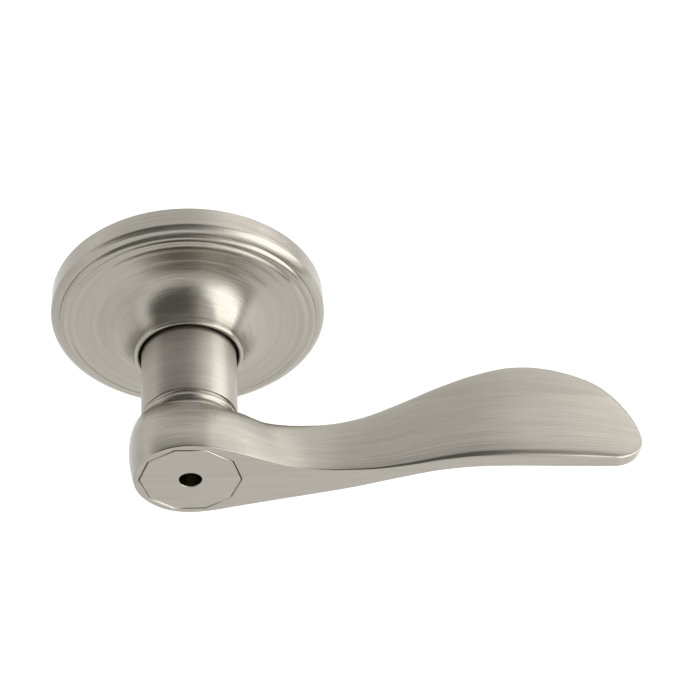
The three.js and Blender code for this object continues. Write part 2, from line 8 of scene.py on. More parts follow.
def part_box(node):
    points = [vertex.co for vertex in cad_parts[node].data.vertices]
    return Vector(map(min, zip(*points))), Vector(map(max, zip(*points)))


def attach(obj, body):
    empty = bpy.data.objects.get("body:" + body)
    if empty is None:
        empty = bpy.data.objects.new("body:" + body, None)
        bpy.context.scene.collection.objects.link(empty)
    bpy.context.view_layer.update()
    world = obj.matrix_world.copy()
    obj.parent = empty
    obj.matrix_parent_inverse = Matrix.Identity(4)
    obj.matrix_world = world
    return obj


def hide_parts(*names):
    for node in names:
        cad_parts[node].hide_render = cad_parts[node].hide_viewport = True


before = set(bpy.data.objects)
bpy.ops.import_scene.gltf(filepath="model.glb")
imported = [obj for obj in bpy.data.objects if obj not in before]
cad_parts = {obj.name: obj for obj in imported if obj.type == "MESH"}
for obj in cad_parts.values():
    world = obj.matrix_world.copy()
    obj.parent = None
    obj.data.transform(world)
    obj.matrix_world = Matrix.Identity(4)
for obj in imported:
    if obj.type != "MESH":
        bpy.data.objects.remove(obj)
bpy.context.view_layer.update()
mm = 0.001
merge = 0.002  # points closer than this, in mm, become one
scene = bpy.context.scene
scene.view_settings.view_transform = "Standard"


# the frame's -Y is "out": a distance from the door towards the hand, in mm
def at(x, out, z):
    return Vector((x * mm, -out * mm, z * mm))


# where a CAD node lies, in mm to four decimals, with back and front counted outwards from the door
def nodeBox(name):
    low, high = [[round(size / mm, 4) for size in corner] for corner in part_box(name)]
    return {
        "left": low[0],
        "right": high[0],
        "back": -high[1],
        "front": -low[1],
        "low": low[2],
        "high": high[2],
    }


def middleOf(box, low, high):
    return (box[low] + box[high]) / 2


# camera: above and in front, a little left, rolled slightly
cameraSetup = {
    "place": (-5.02, 297.34, 336.52),
    "turn": -8.94,
    "down": 49.69,
    "roll": 6.7,
    "lens": 92.57,
}
view = bpy.data.cameras.new("view")
view.lens = cameraSetup["lens"]
camera = bpy.data.objects.new("view", view)
scene.collection.objects.link(camera)
camera.matrix_world = (
    Matrix.Translation(at(*cameraSetup["place"]))
    @ Matrix.Rotation(radians(cameraSetup["turn"]), 4, "Z")
    @ Matrix.Rotation(radians(90 - cameraSetup["down"]), 4, "X")
    @ Matrix.Rotation(radians(cameraSetup["roll"]), 4, "Z")
)
scene.camera = camera
print("camera ready")


# a shader socket that can be used in sums: each operator adds a Math node
class Value:
    def __init__(self, finish, socket):
        self.finish = finish
        self.socket = socket

    def math(self, operation, *others):
        return self.finish.math(operation, self, *others)

    def __add__(self, other):
        return self.math("ADD", other)

    def __radd__(self, other):
        return self.math("ADD", other)

    def __sub__(self, other):
        return self.math("SUBTRACT", other)

    def __rsub__(self, other):
        return self.finish.math("SUBTRACT", other, self)

    def __mul__(self, other):
        return self.math("MULTIPLY", other)

    def __rmul__(self, other):
        return self.math("MULTIPLY", other)

    def __truediv__(self, other):
        return self.math("DIVIDE", other)


class Node:
    def __init__(self, finish, node):
        self.finish = finish
        self.node = node

    def out(self, name=0):
        return Value(self.finish, self.node.outputs[name])


# the node tree of a material or of the world
class Finish:
    def __init__(self, owner):
        owner.use_nodes = True
        self.owner = owner
        self.tree = owner.node_tree
        self.tree.nodes.clear()

    # any node: its type, its settings, then the values or links of its sockets
    def node(self, kind, settings, sockets):
        node = self.tree.nodes.new(kind)
        for name, value in settings.items():
            setattr(node, name, value)
        for name, value in sockets.items():
            if isinstance(value, Value):
                self.tree.links.new(value.socket, node.inputs[name])
            else:
                node.inputs[name].default_value = value
        return Node(self, node)

    def math(self, operation, *parts):
        return self.node("ShaderNodeMath", {"operation": operation}, dict(enumerate(parts))).out()

    # x, y and z on the object, in metres
    def place(self):
        where = self.node("ShaderNodeTexCoord", {}, {}).out("Object")
        parts = self.node("ShaderNodeSeparateXYZ", {}, {0: where})
        return [parts.out(axis) for axis in "XYZ"]

    # noise on four coordinates, 0 to 1
    def noise(self, x, y, z, w=0.0, detail=2.0):
        where = self.node("ShaderNodeCombineXYZ", {}, {0: x, 1: y, 2: z}).out()
        sockets = {"Vector": where, "W": w, "Scale": 1.0, "Detail": detail, "Roughness": 0.6}
        return self.node("ShaderNodeTexNoise", {"noise_dimensions": "4D"}, sockets).out(0)

    def mixColour(self, factor, a, b):
        return self.node("ShaderNodeMix", {"data_type": "RGBA"}, {0: factor, 6: a, 7: b}).out(2)

    # 0 at low and 1 at high, with a soft start and end
    def clamp(self, value, low, high):
        settings = {"interpolation_type": "SMOOTHSTEP"}
        return self.node("ShaderNodeMapRange", settings, {0: value, 1: low, 2: high}).out()

    def bump(self, height, strength, distance):
        sockets = {"Height": height, "Strength": strength, "Distance": distance}
        return self.node("ShaderNodeBump", {}, sockets).out()

    def surface(self, sockets):
        shader = self.node("ShaderNodeBsdfPrincipled", {}, sockets).out()
        self.node("ShaderNodeOutputMaterial", {}, {0: shader})
        return self.owner


def newMaterial(name):
    return Finish(bpy.data.materials.new(name))


# satin nickel; lines, clouds and their runs are sizes of the brush marks in metres
nickel = {
    "light": (0.372, 0.35, 0.306, 1),
    "dark": (0.312, 0.291, 0.252, 1),
    "line": 0.00012,
    "lineRun": 0.02,
    "roundCloud": 0.0012,
    "roundCloudShare": 0.8,
    "longCloud": 0.0013,
    "longCloudRun": 0.03,
    "lineTone": 0.6,
    "cloudTone": 0.4,
    "toneFrom": 0.3,
    "toneTo": 0.7,
    "roughness": 0.2,
    "neckRoughness": 0.16,
    "lineRoughness": 0.1,
    "cloudRoughness": 0.12,
    "cloudHeight": 0.3,
    "strength": 0.9,
    "depth": 0.00005,
}


# fine lines over broad, cloudy ones
def brushedNickel(f, line, cloud, roughness):
    n = nickel
    tone = f.clamp(line * n["lineTone"] + cloud * n["cloudTone"], n["toneFrom"], n["toneTo"])
    uneven = (cloud - 0.5) * n["cloudRoughness"] + (line - 0.5) * n["lineRoughness"]
    return f.surface({
        "Base Color": f.mixColour(tone, n["dark"], n["light"]),
        "Metallic": 1.0,
        "Roughness": roughness + uneven,
        "Normal": f.bump(line + cloud * n["cloudHeight"], n["strength"], n["depth"]),
    })


# brushed round the spindle axis: lines at one radius and one height, long in the turning direction
def roundBrushed(name):
    n = nickel
    f = newMaterial(name)
    x, y, z = f.place()
    radius = (x * x + z * z).math("SQRT")
    across = x / radius
    up = z / radius
    share = n["roundCloudShare"]
    line = f.noise(radius / n["line"], y / n["line"], across, up)
    cloud = f.noise(radius / n["roundCloud"], y / n["roundCloud"], across * share, up * share)
    return brushedNickel(f, line, cloud, n["roughness"])


# how the brush lines swing with the grip's wave; the first five in metres, the others in mm
grain = {
    "from": 0.027,
    "wave": 0.054,
    "depth": 0.0205,
    "swing": 0.0065,
    "even": 0.014,
    "faceSkin": 0.05,
    "faceFlat": 0.01,
    "neckFade": 0.4,
}


# brushed along the lever: lines at one depth of the grip, and level lines on the flat face
def longBrushed(name, faceOut, neckEnd):
    n = nickel
    g = grain
    f = newMaterial(name)
    x, y, z = f.place()
    onFace = f.clamp(-1 * y, (faceOut - g["faceSkin"]) * mm, (faceOut - g["faceFlat"]) * mm)
    onNeck = f.clamp(-1 * y, (neckEnd + g["neckFade"]) * mm, neckEnd * mm)
    swing = ((x.math("MAXIMUM", g["from"]) - g["from"]) * (pi / g["wave"])).math("COSINE")
    depth = g["depth"] - g["swing"] * swing
    across = (y + faceOut * mm) / depth * g["even"] * (1 - onFace) + z * onFace
    height = z * (1 - onFace)
    line = f.noise(across / n["line"], x / n["lineRun"], height / n["lineRun"])
    cloud = f.noise(across / n["longCloud"], x / n["longCloudRun"], height / n["longCloudRun"])
    return brushedNickel(f, line, cloud, n["roughness"] + onNeck * n["neckRoughness"])


# plated or plain hidden metals and nylon, with a fine speckle; grain is in metres
plainFinishes = {
    "zinc_plate": {
        "light": (0.40, 0.41, 0.40, 1), "dark": (0.24, 0.25, 0.25, 1),
        "metallic": 1.0, "roughness": 0.38, "uneven": 0.25,
        "grain": 0.0012, "detail": 4.0, "bump": 0.15, "depth": 0.00003,
    },
    "spring_steel": {
        "light": (0.33, 0.34, 0.36, 1), "dark": (0.22, 0.23, 0.25, 1),
        "metallic": 1.0, "roughness": 0.32, "uneven": 0.25,
        "grain": 0.0005, "detail": 4.0, "bump": 0.15, "depth": 0.00003,
    },
    "turned_brass": {
        "light": (0.72, 0.55, 0.26, 1), "dark": (0.58, 0.43, 0.19, 1),
        "metallic": 1.0, "roughness": 0.3, "uneven": 0.25,
        "grain": 0.0006, "detail": 4.0, "bump": 0.15, "depth": 0.00003,
    },
    "black_nylon": {
        "light": (0.02, 0.02, 0.022, 1), "dark": (0.012, 0.012, 0.013, 1),
        "metallic": 0.0, "roughness": 0.5, "uneven": 0.2,
        "grain": 0.0004, "detail": 3.0, "bump": 0.2, "depth": 0.00004,
    },
}


def speckled(name):
    look = plainFinishes[name]
    f = newMaterial(name)
    x, y, z = f.place()
    size = look["grain"]
    speck = f.noise(x / size, y / size, z / size, detail=look["detail"])
    return f.surface({
        "Base Color": f.mixColour(speck, look["dark"], look["light"]),
        "Metallic": look["metallic"],
        "Roughness": look["roughness"] + (speck - 0.5) * look["uneven"],
        "Normal": f.bump(speck, look["bump"], look["depth"]),
    })


# the finish for each of the record's material slots
finishes = {
    "satin_nickel": roundBrushed("satin_nickel_round"),
    "zinc_plate": speckled("zinc_plate"),
    "spring_steel": speckled("spring_steel"),
    "brass": speckled("turned_brass"),
    "black_nylon": speckled("black_nylon"),
}
print("materials ready")


# turn a bmesh into a finished object that rides on a body and stands for CAD nodes
def finishPiece(bm, name, body, slot, nodes, material=None, sharp=35):
    bmesh.ops.remove_doubles(bm, verts=bm.verts, dist=merge * mm)
    bmesh.ops.recalc_face_normals(bm, faces=bm.faces)
    for face in bm.faces:
        face.smooth = True
    mesh = bpy.data.meshes.new(name)
    bm.to_mesh(mesh)
    bm.free()
    mesh.set_sharp_from_angle(angle=radians(sharp))
    mesh.materials.append(material or finishes[slot])
    piece = bpy.data.objects.new(name, mesh)
    scene.collection.objects.link(piece)
    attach(piece, body)
    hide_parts(*nodes)


# spin a closed outline of (radius, out) points round the spindle axis
def turnedSolid(profile, steps=64, place=(0, 0)):
    bm = bmesh.new()
    points = [bm.verts.new(at(radius, out, 0)) for radius, out in profile]
    edges = [bm.edges.new(pair) for pair in zip(points, points[1:] + points[:1])]
    bmesh.ops.spin(
        bm, geom=points + edges, cent=(0, 0, 0), axis=(0, 1, 0),
        angle=2 * pi, steps=steps, use_merge=True,
    )
    bmesh.ops.remove_doubles(bm, verts=bm.verts, dist=merge * mm)
    bmesh.ops.recalc_face_normals(bm, faces=bm.faces)
    bmesh.ops.translate(bm, verts=bm.verts, vec=at(place[0], 0, place[1]))
    return bm


# lay a turned solid over so that its axis points straight down, at one distance from the door
def pointDown(bm, out):
    lower = Matrix.Translation(at(0, out, 0)) @ Matrix.Rotation(radians(90), 4, "X")
    bmesh.ops.transform(bm, matrix=lower, verts=bm.verts)
    return bm


# join or cut whole solids, and give the result back as one mesh to go on with
def combine(first, steps):
    objects = []
    for i, bm in enumerate([first] + [other for kind, other in steps]):
        mesh = bpy.data.meshes.new("solid_%d" % i)
        bm.to_mesh(mesh)
        bm.free()
        objects.append(bpy.data.objects.new("solid_%d" % i, mesh))
        scene.collection.objects.link(objects[-1])
    for other, (kind, _) in zip(objects[1:], steps):
        change = objects[0].modifiers.new(kind, "BOOLEAN")
        change.operation = kind
        change.object = other
        change.solver = "EXACT"
    bpy.context.view_layer.update()
    made = bmesh.new()
    made.from_object(objects[0], bpy.context.evaluated_depsgraph_get())
    for each in objects:
        mesh = each.data
        bpy.data.objects.remove(each)
        bpy.data.meshes.remove(mesh)
    return made


def openEdges(bm):
    return len([edge for edge in bm.edges if not edge.is_manifold])


def arc(centreRadius, centreOut, size, start, end, count):
    turns = [radians(start + (end - start) * i / count) for i in range(count + 1)]
    return [(centreRadius + size * cos(turn), centreOut + size * sin(turn)) for turn in turns]


# a smooth line through a few points, read at any x
def curve(points, x):
    x = min(max(x, points[0][0]), points[-1][0])
    last = len(points) - 1
    i = max(k for k in range(last) if points[k][0] <= x)
    (x0, y0), (x1, y1) = points[i], points[i + 1]
    xa, ya = points[max(i - 1, 0)]
    xb, yb = points[min(i + 2, last)]
    span = x1 - x0
    t = (x - x0) / span
    leave = (y1 - ya) / (x1 - xa) * span
    arrive = (yb - y0) / (xb - x0) * span
    ease = 2 * t ** 3 - 3 * t ** 2 + 1
    bend = (t ** 3 - 2 * t ** 2 + t) * leave + (t ** 3 - t ** 2) * arrive
    return ease * y0 + (1 - ease) * y1 + bend


def mix(a, b, t):
    return a + (b - a) * t


def smooth(t):
    t = min(max(t, 0), 1)
    return t * t * (3 - 2 * t)


# rosette: a spun shell; the lists are (radius, out) points of its outside from the edge inwards
roseBox = nodeBox("rosette")
rose = {
    "radius": roseBox["right"],
    "height": roseBox["front"],
    "wall": 1.1,
    "rimOut": 4.9,
    "rimSoft": 0.5,
    "rim": [(33.1, 5.45), (32.8, 5.78), (32.4, 6.06), (31.95, 6.24), (31.6, 6.3)],
    "beadFoot": [(31.45, 6.3), (31.38, 6.55)],
    "beadPlace": (30.5, 6.35),
    "beadSize": 0.95,
    "ring": [(29.78, 7.06), (29.55, 7.06), (29.3, 7.2), (29.0, 7.42), (28.7, 7.55), (28.4, 7.57)],
    "ringFall": [(28.1, 7.48), (27.7, 7.33), (27.4, 7.28)],
    "dish": [(27.15, 7.3), (26.8, 7.4), (26.3, 7.42), (25.6, 7.45), (24.6, 7.5), (23.9, 7.58)],
    "flareFrom": 23.5,
    "flareOut": 7.7,
    "lip": 13.2,
    "lipSoft": 0.6,
    "hole": 11.97,
    "holeFrom": 1.0,
    "holeTo": 1.5,
    "inside": [(29, 6.1), (31.3, 5.4), (32.2, 4.4)],
    "insideRim": 3.6,
    "steps": 144,
}


# the collar's flare, or the same line a wall's thickness further in
def flareLine(turns, inset):
    r = rose
    top = r["height"] - r["lipSoft"]
    up = top - r["flareOut"] + inset
    across = r["flareFrom"] - r["lip"] + inset
    return [(r["flareFrom"] - across * cos(radians(a)), top - up * sin(radians(a))) for a in turns]


def makeRosette():
    r = rose
    soft = r["rimSoft"]
    profile = [(r["radius"], 0)] + arc(r["radius"] - soft, r["rimOut"], soft, 0, 35, 3)
    profile += r["rim"] + r["beadFoot"] + arc(*r["beadPlace"], r["beadSize"], 20, 125, 8)[1:]
    profile += r["ring"] + r["ringFall"] + r["dish"] + flareLine(range(90, 0, -5), 0)
    profile += arc(r["lip"] - r["lipSoft"], r["height"] - r["lipSoft"], r["lipSoft"], 10, 170, 8)
    profile += [(r["hole"], r["height"] - r["holeFrom"]), (r["hole"], r["height"] - r["holeTo"])]
    profile += flareLine(range(8, 91, 8), r["wall"]) + r["inside"]
    profile += [(r["radius"] - r["wall"], r["insideRim"]), (r["radius"] - r["wall"], 0)]
    bm = turnedSolid(profile, r["steps"])
    finishPiece(bm, "rosette_shell", "rose_set", "satin_nickel", ["rosette"])


makeRosette()
print("rosette ready")


# lever: one solid lofted from the hub's left side round to the tip, joined to the neck, then bored
leverBox = nodeBox("lever_handle")
lever = {
    "face": leverBox["front"],
    "length": leverBox["right"],
    "end": leverBox["back"],
    "hubStations": 22,
    "stations": 132,
    "crowd": 1.35,
    "flank": 18,
    "front": 6,
    "fillet": 4,
    "backSteps": 6,
}
hub = {
    "radius": 13.0,
    "waist": 11.8,
    "waistOut": 40.6,
    "waistLeft": 37.6,
    "waistRight": 40.4,
    "frontBulge": (0.6, 1.5),
    "frontReach": 4.6,
    "backBulge": (0.7, 3.1),
    "backReach": 3.3,
    "fan": 18.6,
    "fanEnd": 15,
}
grip = {
    "joinRun": 16,
    "thickShare": 0.15,
    "thickNear": 0.8,
    "thickFar": 0.88,
    "crown": 1.2,
    "crownRun": 34,
    "frontPull": 0.9,
    "backPull": 0.04,
}
tip = {"from": 95, "fromOut": 30.3, "out": 48.4, "frontFrom": 98.5, "point": 0.3}

# lines along the lever, as (x, value): the face's edges, the back's line, and how soft the edges are
upperEdge = [
    (0, 13), (4.3, 12.55), (11, 10.1), (17.9, 7.0), (24.9, 4.4), (31.9, 3.4), (38, 3.4), (44, 3.9),
    (51, 5.4), (58, 7.2), (65, 8.4), (72, 8.8), (80, 8.7), (90, 8.2), (100, 7.3), (105.5, 6.6),
]
lowerEdge = [
    (0, -13.1), (4.7, -12.5), (10.2, -11.0), (15.8, -9.5), (26.9, -6.6), (37.9, -3.6), (48.8, 0.1),
    (57, 2.6), (65, 3.9), (74, 4.2), (86, 3.9), (96, 3.7), (101, 3.8), (104, 4.3), (105.5, 5.4),
]
backEdge = [
    (11.5, 38.0), (14, 38.6), (20, 39.0), (25, 38.95), (32, 38.6), (40, 37.3), (50, 34.6),
    (60, 31.4), (68, 28.8), (75, 27.0), (81, 26.6), (86, 27.2), (91, 28.6), (95, 30.3),
]
backThick = [(11, 3.05), (20, 2.4), (30, 1.7), (45, 1.1), (70, 0.7), (95, 0.45), (105.5, 0.25)]
upperSoft = [(-14, 0.3), (28, 0.34), (42, 0.5), (54, 0.9), (66, 1.5), (92, 1.6), (100, 1.1), (105.5, 0.2)]
lowerSoft = [(-14, 0.3), (100, 0.35), (105.5, 0.2)]


# the back's line, then an arc that is a little pointed round to the tip
def backOut(x):
    if x <= tip["from"]:
        return curve(backEdge, x)
    share = min((x - tip["from"]) / (lever["length"] - tip["from"]), 1)
    return tip["out"] - (tip["out"] - tip["fromOut"]) * mix(sqrt(1 - share ** 2), 1 - share, tip["point"])


def frontOut(x):
    share = min(max((x - tip["frontFrom"]) / (lever["length"] - tip["frontFrom"]), 0), 1)
    return tip["out"] + (lever["face"] - tip["out"]) * sqrt(1 - share ** 2)


# from the face's edge to the waist, as a curve's four points; the waist dips to the door on the left
def hubLine(front, around):
    h = hub
    side = around.x ** 2
    dip = h["waistRight"] if around.x > 0 else h["waistLeft"]
    back = around * h["waist"] + Vector((0, mix(h["waistOut"], dip, side), 0))
    first = front + around * mix(*h["frontBulge"], side) - Vector((0, h["frontReach"], 0))
    second = back + around * mix(*h["backBulge"], side) + Vector((0, h["backReach"], 0))
    return front, first, second, back


# the flank's curve at one place along the lever; side is 1 above and -1 below
def station(x, side):
    if x <= 0:
        height = side * sqrt(max(hub["radius"] ** 2 - x ** 2, 0))
        around = Vector((x, 0, height)).normalized()
        return hubLine(Vector((x, lever["face"], height)), around)
    edge = upperEdge if side > 0 else lowerEdge
    front = Vector((x, frontOut(x), curve(edge, x)))
    fanned = min(x / hub["fan"], 1)
    turn = radians(mix(90, hub["fanEnd"], fanned))
    _, first, second, back = hubLine(front, Vector((cos(turn), 0, side * sin(turn))))
    if x >= hub["fan"]:
        along = smooth((x - hub["fan"]) / grip["joinRun"])
        reach = mix(back.x, x, along)
        room = (frontOut(reach) - backOut(reach)) * grip["thickShare"]
        thick = min(curve(backThick, reach), room)
        out = backOut(reach) + thick * mix(grip["thickNear"], grip["thickFar"], along)
        middle = (curve(upperEdge, x) + curve(lowerEdge, x)) / 2
        back = Vector((reach, out, middle * along + side * thick))
    crown = side * grip["crown"] * (1 - smooth(x / grip["crownRun"]))
    corner = Vector((mix(back.x, x, 0.5), mix(back.y, backOut(x), 0.5), front.z + crown))
    blade = smooth(fanned)
    first = first.lerp(front.lerp(corner, grip["frontPull"]), blade)
    second = second.lerp(corner.lerp(back, grip["backPull"]), blade)
    return front, first, second, back


# points from the softened edge of the face down the flank to the back
def sectionLine(x, side):
    front, first, second, back = station(x, side)
    step = 0.05
    run = station(x + step, side)[0] - station(x - step, side)[0]
    inward = Vector((run.z, 0, -run.x)).normalized() * side
    if x < 0.2 - hub["radius"]:
        inward = Vector((1, 0, 0))
    away = (first - front).normalized()
    soft = curve(upperSoft if side > 0 else lowerSoft, x)
    soft = min(soft, (front - back).length * 0.3)
    points = []
    for i in range(lever["fillet"]):
        t = i / lever["fillet"]
        u = 1 - t
        points.append((front + inward * soft) * u * u + front * 2 * t * u + (front + away * soft) * t * t)
    start = front + away * soft
    for i in range(lever["flank"] + 1):
        t = i / lever["flank"]
        u = 1 - t
        points.append(start * u ** 3 + first * 3 * t * u * u + second * 3 * t * t * u + back * t ** 3)
    return points


# round the back edge from above to below; across the hub it is flat and lies inside the neck
def backRound(x, upper, lower):
    bulge = (upper - lower).length / 2 * smooth((x - hub["fan"]) / grip["joinRun"])
    turns = [pi * i / lever["backSteps"] for i in range(1, lever["backSteps"])]
    rounded = [upper.lerp(lower, (1 - cos(a)) / 2) - Vector((0, bulge * sin(a), 0)) for a in turns]
    return rounded + [lower]


# stations stand closer together round the hub's left side and towards the tip
def stationPlaces():
    count = lever["hubStations"]
    left = [-hub["radius"] * cos(pi / 2 * i / count) for i in range(count)]
    last = lever["stations"] - count - 1
    right = [lever["length"] * (1 - (1 - i / last) ** lever["crowd"]) for i in range(last + 1)]
    return left + right


# a grid whose rows are laid on the sections, closed round the back and at the tip
def leverHead():
    rows = []
    for x in stationPlaces():
        top = sectionLine(x, 1)
        low = sectionLine(x, -1)
        front = [low[0].lerp(top[0], i / lever["front"]) for i in range(1, lever["front"])]
        rows.append(low[::-1] + front + top + backRound(x, top[-1], low[-1]))
    bm = bmesh.new()
    along = len(rows) - 1
    across = len(rows[0]) - 1
    bmesh.ops.create_grid(bm, x_segments=along, y_segments=across, size=1)
    for vert in bm.verts:
        row = rows[round((vert.co.x + 1) / 2 * along)]
        point = row[round((vert.co.y + 1) / 2 * across)]
        vert.co = at(point.x, point.y, point.z)
    bmesh.ops.remove_doubles(bm, verts=bm.verts, dist=2 * merge * mm)
    bmesh.ops.contextual_create(bm, geom=[edge for edge in bm.edges if edge.is_boundary])
    bmesh.ops.recalc_face_normals(bm, faces=bm.faces)
    return bm


neck = {
    "radius": 11.55,
    "edge": 0.25,
    "slim": 11.35,
    "slimOut": 35.8,
    "groove": [(11.23, 36.05), (10.85, 36.2), (10.6, 36.45), (10.6, 36.85), (10.8, 37.08)],
    "ring": [(11.1, 37.2), (11.2, 37.32), (11.2, 37.62), (11.1, 37.76)],
    "cove": [(10.8, 37.95), (10.6, 38.2), (10.66, 38.5), (10.9, 38.85), (11.3, 39.15)],
    "shoulder": [(11.58, 39.45), (11.7, 39.9), (11.8, 40.7), (10.9, 41.6), (10.5, 46.5), (0, 46.5)],
    "bore": 9.55,
    "boreEdge": 0.3,
    "boreEnd": 45.5,
    "stem": 6.3,
    "pocket": 11.8,
    "pocketOut": 51.1,
    "pocketEdge": 0.27,
    "steps": 128,
}


# the neck with its two grooves and the ring between them, running up into the hub
def leverNeck():
    n = neck
    end = lever["end"]
    profile = [(0, end), (n["radius"] - n["edge"], end), (n["radius"], end + n["edge"])]
    profile += [(n["slim"], n["slimOut"])] + n["groove"] + n["ring"] + n["cove"] + n["shoulder"]
    return turnedSolid(profile, n["steps"])


# the bore for the sleeve, and the hole for the insert's stem through to the pocket
def boreCutter():
    n = neck
    end = lever["end"]
    mouth = n["bore"] + n["boreEdge"]
    top = n["pocketOut"] + 1
    profile = [(0, end - 1), (mouth, end - 1), (mouth, end), (n["bore"], end + n["boreEdge"])]
    profile += [(n["bore"], n["boreEnd"]), (n["stem"], n["boreEnd"]), (n["stem"], top), (0, top)]
    return turnedSolid(profile, 96)


insertBox = nodeBox("face_insert")
insert = {
    "sides": 10,
    "turn": 18,
    "radius": insertBox["right"],
    "face": insertBox["front"],
    "stemEnd": insertBox["back"],
    "plate": 2.8,
    "edge": 0.2,
    "stem": 6.0,
    "stemEdge": 0.3,
    "hole": 2.65,
    "holeEdge": 0.12,
}


# a closed ten-sided prism through rings given as (radius, out)
def decagon(levels):
    bm = bmesh.new()
    rings = []
    for radius, out in levels:
        turn = (
            Matrix.Translation(at(0, out, 0))
            @ Matrix.Rotation(radians(90), 4, "X")
            @ Matrix.Rotation(radians(insert["turn"]), 4, "Z")
        )
        made = bmesh.ops.create_circle(bm, segments=insert["sides"], radius=radius * mm, matrix=turn)
        rings.append(list({edge for vert in made["verts"] for edge in vert.link_edges}))
    for low, high in zip(rings, rings[1:]):
        bmesh.ops.bridge_loops(bm, edges=low + high)
    bmesh.ops.contextual_create(bm, geom=rings[0])
    bmesh.ops.contextual_create(bm, geom=rings[-1])
    bmesh.ops.recalc_face_normals(bm, faces=bm.faces)
    return bm


def pocketCutter():
    size = neck["pocket"]
    edge = neck["pocketEdge"]
    face = lever["face"]
    mouth = size + 2 * edge
    return decagon([(size, neck["pocketOut"]), (size, face - edge), (mouth, face + edge), (mouth, face + 1)])


catchBox = nodeBox("lever_catch")
catch = {
    "out": middleOf(catchBox, "back", "front"),
    "foot": catchBox["right"],
    "footTop": 4.72,
    "footThick": 1.2,
    "footEdge": 0.15,
    "radius": 1.9,
    "tip": -catchBox["low"] - 0.05,
    "hole": 2.2,
    "holeEdge": 0.3,
}


# the round hole under the neck that the catch comes through
def catchCutter():
    wall = neck["radius"]
    inside = neck["bore"] - 2
    mouth = catch["hole"] + catch["holeEdge"]
    profile = [(0, inside), (catch["hole"], inside), (catch["hole"], wall - 0.35)]
    profile += [(mouth, wall - 0.05), (mouth, wall + 1), (0, wall + 1)]
    return pointDown(turnedSolid(profile, 40), catch["out"])


def makeLever():
    shell = combine(leverHead(), [
        ("UNION", leverNeck()),
        ("DIFFERENCE", boreCutter()),
        ("DIFFERENCE", pocketCutter()),
        ("DIFFERENCE", catchCutter()),
    ])
    print("lever open edges", openEdges(shell))
    finish = longBrushed("satin_nickel_long", lever["face"], neck["slimOut"])
    finishPiece(shell, "lever_shell", "lever", "satin_nickel", ["lever_handle"], finish)


makeLever()
print("lever ready")


# ten-sided plate with softened edges, a stem behind it and the release hole through both
def makeInsert():
    i = insert
    face = i["face"]
    back = face - i["plate"]
    inner = i["radius"] - i["edge"]
    end = i["stemEnd"]
    levels = [(inner, back), (i["radius"], back + i["edge"])]
    levels += [(i["radius"], face - i["edge"]), (inner, face)]
    stem = [(0, end), (i["stem"] - i["stemEdge"], end), (i["stem"], end + i["stemEdge"])]
    stem += [(i["stem"], back + 0.5), (0, back + 0.5)]
    mouth = i["hole"] + i["holeEdge"]
    hole = [(0, end - 1), (i["hole"], end - 1), (i["hole"], face - i["holeEdge"])]
    hole += [(mouth, face), (mouth, face + 1), (0, face + 1)]
    solid = combine(decagon(levels), [("UNION", turnedSolid(stem)), ("DIFFERENCE", turnedSolid(hole))])
    print("insert open edges", openEdges(solid))
    finish = longBrushed("satin_nickel_insert", lever["face"], neck["slimOut"])
    finishPiece(solid, "face_insert_plate", "lever", "satin_nickel", ["face_insert"], finish)


makeInsert()
print("insert ready")


# the mounting plate: its hole places come from the posts and rivets
plateBox = nodeBox("mounting_plate")
plate = {
    "radius": plateBox["right"],
    "thick": plateBox["front"],
    "hole": 9.5,
    "edge": 0.25,
    "dishFrom": 23.6,
    "dishTo": 28.6,
    "dishDepth": 0.55,
    "dishRun": 1,
    "postHole": 3.5,
    "rivetHole": 1.7,
    "crimp": 0.3,
    "steps": 144,
}
postNodes = {"fixing_post_left": "mounting_post_left", "fixing_post_right": "mounting_post_right"}
rivetNodes = {"rivet_%d" % i: "housing_rivet_%d" % i for i in (1, 2, 3)}


def placeOf(node):
    box = nodeBox(node)
    return middleOf(box, "left", "right"), middleOf(box, "low", "high")


# a hole with a small chamfer on the door side
def holeThrough(radius, place):
    top = plate["thick"] + 1
    mouth = radius + plate["crimp"]
    profile = [(0, -1), (mouth, -1), (mouth, 0), (radius, plate["crimp"]), (radius, top), (0, top)]
    return turnedSolid(profile, 48, place)


# a stamped disc: softened edges, and a shallow ring pressed into it that stiffens it
def makePlate():
    p = plate
    edge = p["edge"]
    top = p["thick"]
    run = p["dishRun"]
    depth = p["dishDepth"]
    slope = depth * 0.75
    profile = [(p["hole"], edge), (p["hole"] + edge, 0), (p["dishFrom"], 0)]
    profile += [(p["dishFrom"] + run / 2, slope), (p["dishFrom"] + run, depth)]
    profile += [((p["dishFrom"] + p["dishTo"]) / 2, depth), (p["dishTo"] - run, depth)]
    profile += [(p["dishTo"] - run / 2, slope), (p["dishTo"], 0), (p["radius"] - edge, 0)]
    profile += [(p["radius"], edge), (p["radius"], top - edge), (p["radius"] - edge, top)]
    profile += [(p["hole"] + edge, top), (p["hole"], top - edge)]
    cuts = [holeThrough(p["postHole"], placeOf(node)) for node in postNodes.values()]
    cuts += [holeThrough(p["rivetHole"], placeOf(node)) for node in rivetNodes.values()]
    disc = combine(turnedSolid(profile, p["steps"]), [("DIFFERENCE", cut) for cut in cuts])
    finishPiece(disc, "mounting_plate_disc", "rose_set", "zinc_plate", ["mounting_plate"])


postBox = nodeBox("mounting_post_left")
post = {
    "end": postBox["back"],
    "top": postBox["front"],
    "flange": postBox["high"],
    "flangeThick": 1.2,
    "flangeEdge": 0.3,
    "radius": 3.2,
    "chamfer": 0.45,
    "bore": 1.7,
    "boreDepth": 14.0,
    "boreTip": 0.8,
    "thread": 0.22,
    "pitch": 0.7,
}


